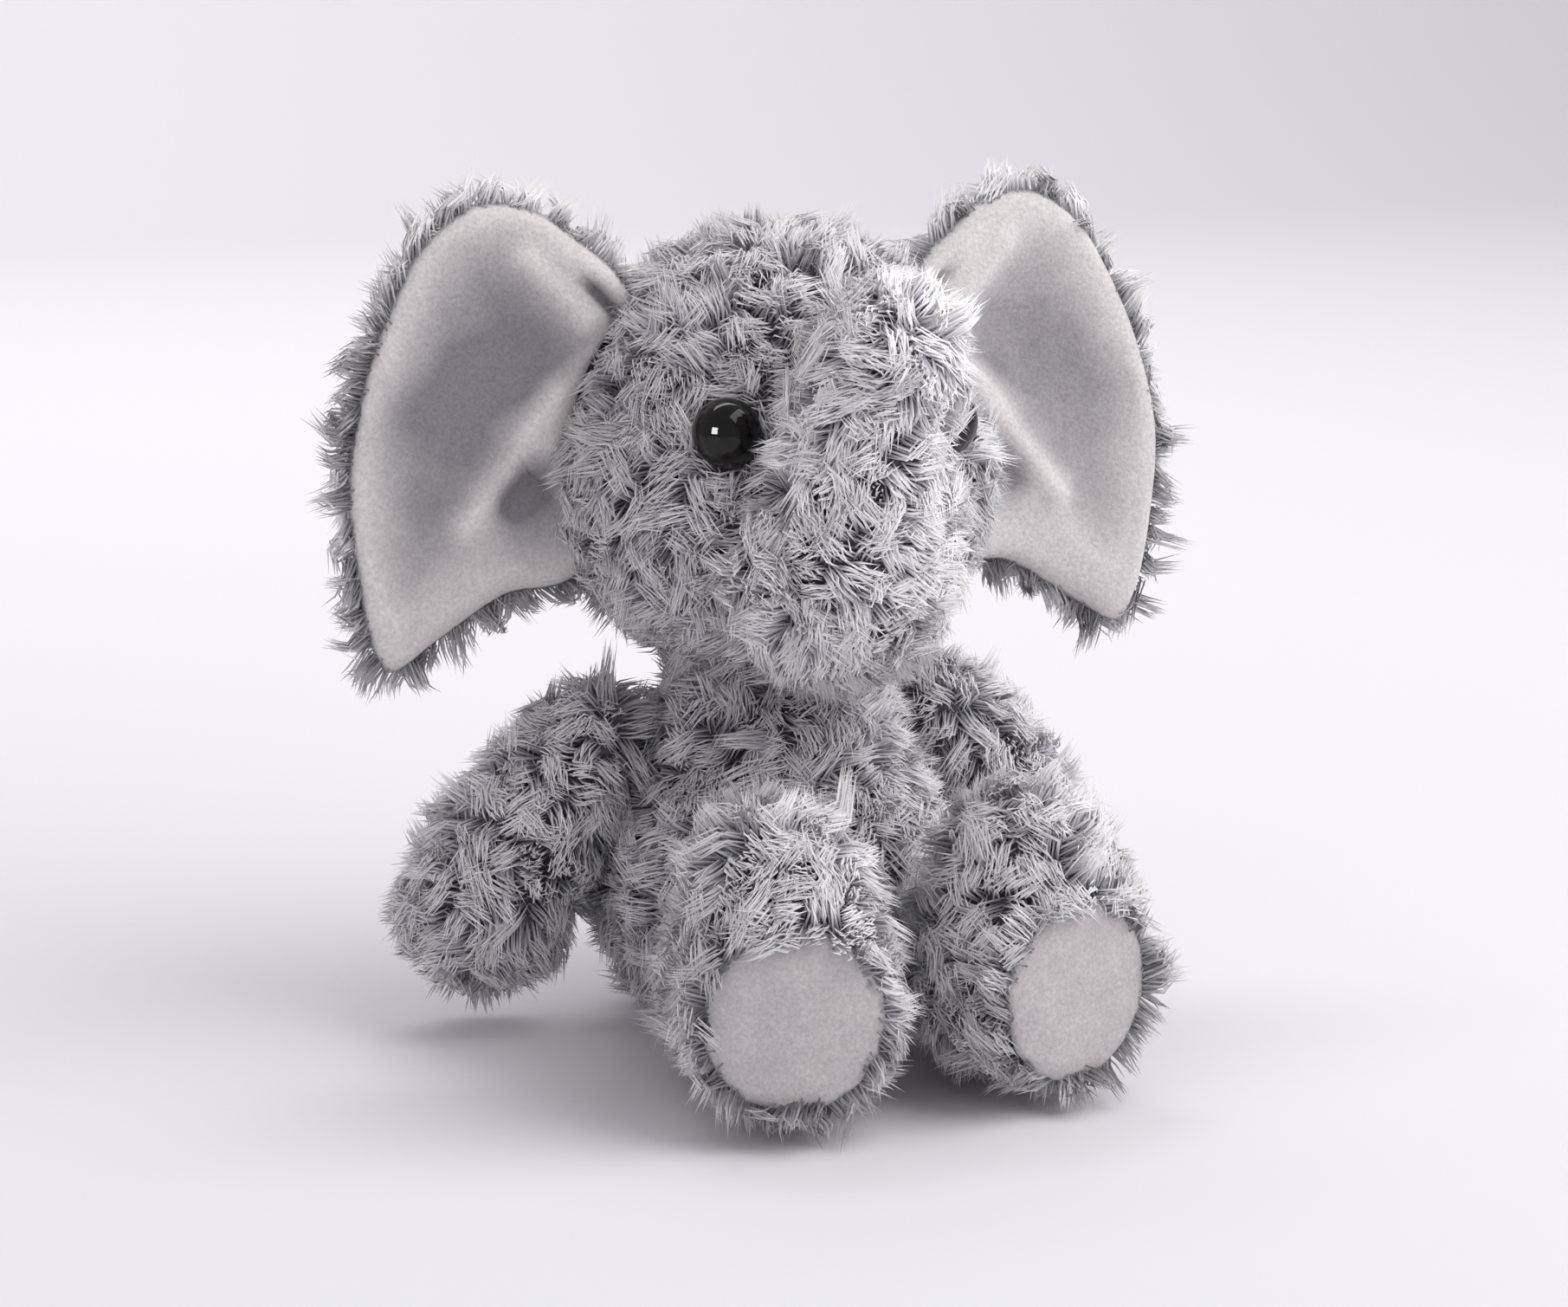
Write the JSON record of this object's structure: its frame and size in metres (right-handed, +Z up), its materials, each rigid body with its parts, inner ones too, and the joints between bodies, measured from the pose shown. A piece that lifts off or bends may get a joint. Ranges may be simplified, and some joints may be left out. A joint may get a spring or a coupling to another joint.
{
  "type": "stuffed elephant",
  "caption": "Seated soft-toy elephant in curly grey pile with velour ears and soles; head, trunk, ears, arms, legs and tail move on sprung seams.",
  "frame": {"origin": "middle of the flat seat, on the surface that the toy sits on", "axes": "+Z up, the toy faces -Y, its left is +X"},
  "size_m": [0.2044, 0.1674, 0.192],
  "materials": {
    "fur": "curly two-tone grey pile, 8 to 10 mm long",
    "velour": "short brushed nap with a soft sheen",
    "stuffing": "white polyester fibre",
    "pouch": "thin nonwoven cloth",
    "thread": "waxed polyester thread",
    "pellets": "moulded polyethylene beads",
    "eye": "polished black dome",
    "washer": "moulded nylon"
  },
  "bodies": {
    "body": {"body_skin": "fur", "body_stuffing": "stuffing", "pellet_pouch": "pouch", "pellets": "pellets"},
    "neck": {"neck_stuffing": "stuffing", "neck_thread": "thread"},
    "head": {"head_skin": "fur", "head_stuffing": "stuffing", "eye_left": "eye", "eye_right": "eye", "eye_washer_left": "washer", "eye_washer_right": "washer"},
    "trunk": {"trunk_skin": "fur", "trunk_stuffing": "stuffing"},
    "ear_left": {"ear_left_front": "velour", "ear_left_wadding": "stuffing", "ear_left_back": "fur"},
    "ear_right": {"ear_right_front": "velour", "ear_right_wadding": "stuffing", "ear_right_back": "fur"},
    "arm_left": {"arm_left_skin": "fur", "arm_left_stuffing": "stuffing"},
    "arm_right": {"arm_right_skin": "fur", "arm_right_stuffing": "stuffing"},
    "leg_left": {"leg_left_skin": "fur", "leg_left_stuffing": "stuffing", "sole_left": "velour"},
    "leg_right": {"leg_right_skin": "fur", "leg_right_stuffing": "stuffing", "sole_right": "velour"},
    "tail": {"tail": "fur"}
  },
  "joints": [
    {"name": "neck_turn", "type": "hinge", "parent": "body", "child": "neck", "pos_m": [0, 0, 0.131], "axis": [0, 0, 1], "range_deg": [-25, 25], "stiffness_Nm_per_rad": 0.1},
    {"name": "neck_nod", "type": "hinge", "parent": "neck", "child": "head", "pos_m": [0, 0, 0.131], "axis": [1, 0, 0], "range_deg": [-10, 6], "stiffness_Nm_per_rad": 0.3},
    {"name": "trunk_bend", "type": "hinge", "parent": "head", "child": "trunk", "pos_m": [0, -0.038, 0.114], "axis": [1, 0, 0], "range_deg": [0, 25], "stiffness_Nm_per_rad": 0.15},
    {"name": "ear_left_flap", "type": "hinge", "parent": "head", "child": "ear_left", "pos_m": [0.051, 0.005, 0.104], "axis": [0.19, 0, -0.9818], "range_deg": [-20, 30], "stiffness_Nm_per_rad": 0.05},
    {"name": "ear_right_flap", "type": "hinge", "parent": "head", "child": "ear_right", "pos_m": [-0.051, 0.005, 0.104], "axis": [0.19, 0, 0.9818], "range_deg": [-20, 30], "stiffness_Nm_per_rad": 0.05},
    {"name": "arm_left_raise", "type": "hinge", "parent": "body", "child": "arm_left", "pos_m": [0.041, 0.002, 0.07], "axis": [0, -1, 0], "range_deg": [0, 40], "stiffness_Nm_per_rad": 0.02},
    {"name": "arm_right_raise", "type": "hinge", "parent": "body", "child": "arm_right", "pos_m": [-0.041, 0.002, 0.07], "axis": [0, 1, 0], "range_deg": [0, 40], "stiffness_Nm_per_rad": 0.02},
    {"name": "leg_left_splay", "type": "hinge", "parent": "body", "child": "leg_left", "pos_m": [0.027, -0.04, 0.022], "axis": [0, 0, 1], "range_deg": [0, 20], "stiffness_Nm_per_rad": 0.1},
    {"name": "leg_right_splay", "type": "hinge", "parent": "body", "child": "leg_right", "pos_m": [-0.027, -0.04, 0.022], "axis": [0, 0, -1], "range_deg": [0, 20], "stiffness_Nm_per_rad": 0.1},
    {"name": "tail_swing", "type": "hinge", "parent": "body", "child": "tail", "pos_m": [0, 0.0455, 0.032], "axis": [0, 0, 1], "range_deg": [-20, 20], "stiffness_Nm_per_rad": 0.005}
  ]
}
